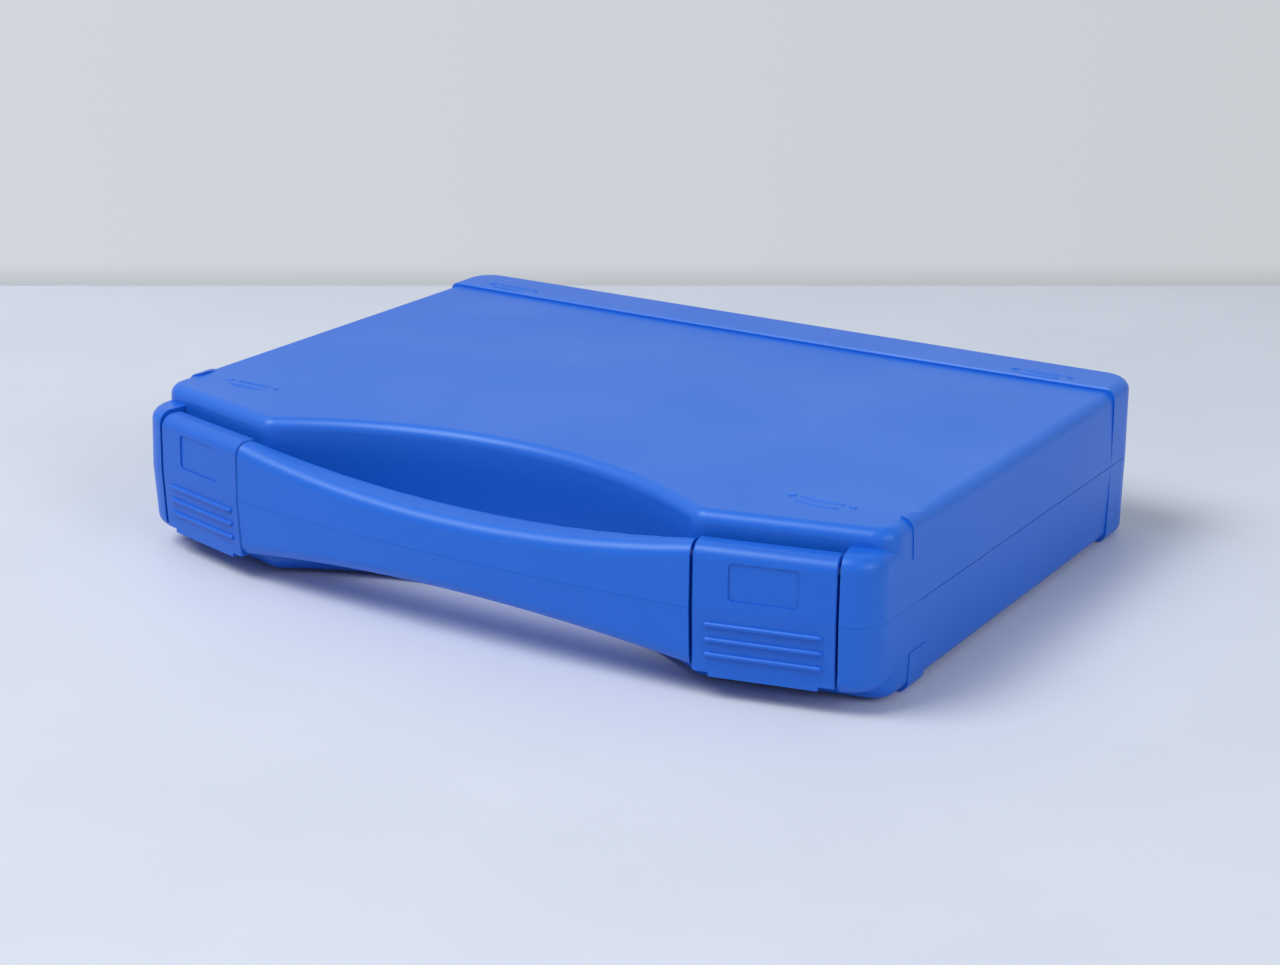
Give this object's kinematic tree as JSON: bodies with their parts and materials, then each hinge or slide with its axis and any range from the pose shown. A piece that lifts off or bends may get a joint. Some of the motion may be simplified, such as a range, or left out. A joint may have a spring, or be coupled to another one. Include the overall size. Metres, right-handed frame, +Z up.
{
  "type": "hard tool case",
  "caption": "Blue plastic hard tool case lying flat, with a handle moulded into its two half shells, two front latches and a lid hinged at the rear.",
  "frame": {"origin": "on the table, under the middle of the closed case's bounding box", "axes": "+Z up, +X to the right as seen from the front, -Y towards the front with handle and latches"},
  "size_m": [0.25, 0.195, 0.0496],
  "materials": {
    "shell_plastic": "satin blue polypropylene with a fine grain",
    "latch_plastic": "satin blue polypropylene, a little smoother than the shells",
    "pin_steel": "drawn steel wire"
  },
  "bodies": {
    "base": {"base_shell": "shell_plastic", "left_hinge_pin": "pin_steel", "right_hinge_pin": "pin_steel"},
    "lid": {"lid_shell": "shell_plastic", "left_latch_pin": "pin_steel", "right_latch_pin": "pin_steel"},
    "left_latch": {"left_latch": "latch_plastic"},
    "right_latch": {"right_latch": "latch_plastic"}
  },
  "joints": [
    {"name": "lid_hinge", "type": "hinge", "parent": "base", "child": "lid", "pos_m": [0, 0.09405, 0.0253], "axis": [-1, 0, 0], "range_deg": [0, 180]},
    {"name": "right_latch_hinge", "type": "hinge", "parent": "lid", "child": "right_latch", "pos_m": [0.09536, -0.0845, 0.0387], "axis": [-0.9732, -0.23, 0], "range_deg": [0, 105]},
    {"name": "left_latch_hinge", "type": "hinge", "parent": "lid", "child": "left_latch", "pos_m": [-0.09536, -0.0845, 0.0387], "axis": [-0.9732, 0.23, 0], "range_deg": [0, 105]}
  ]
}
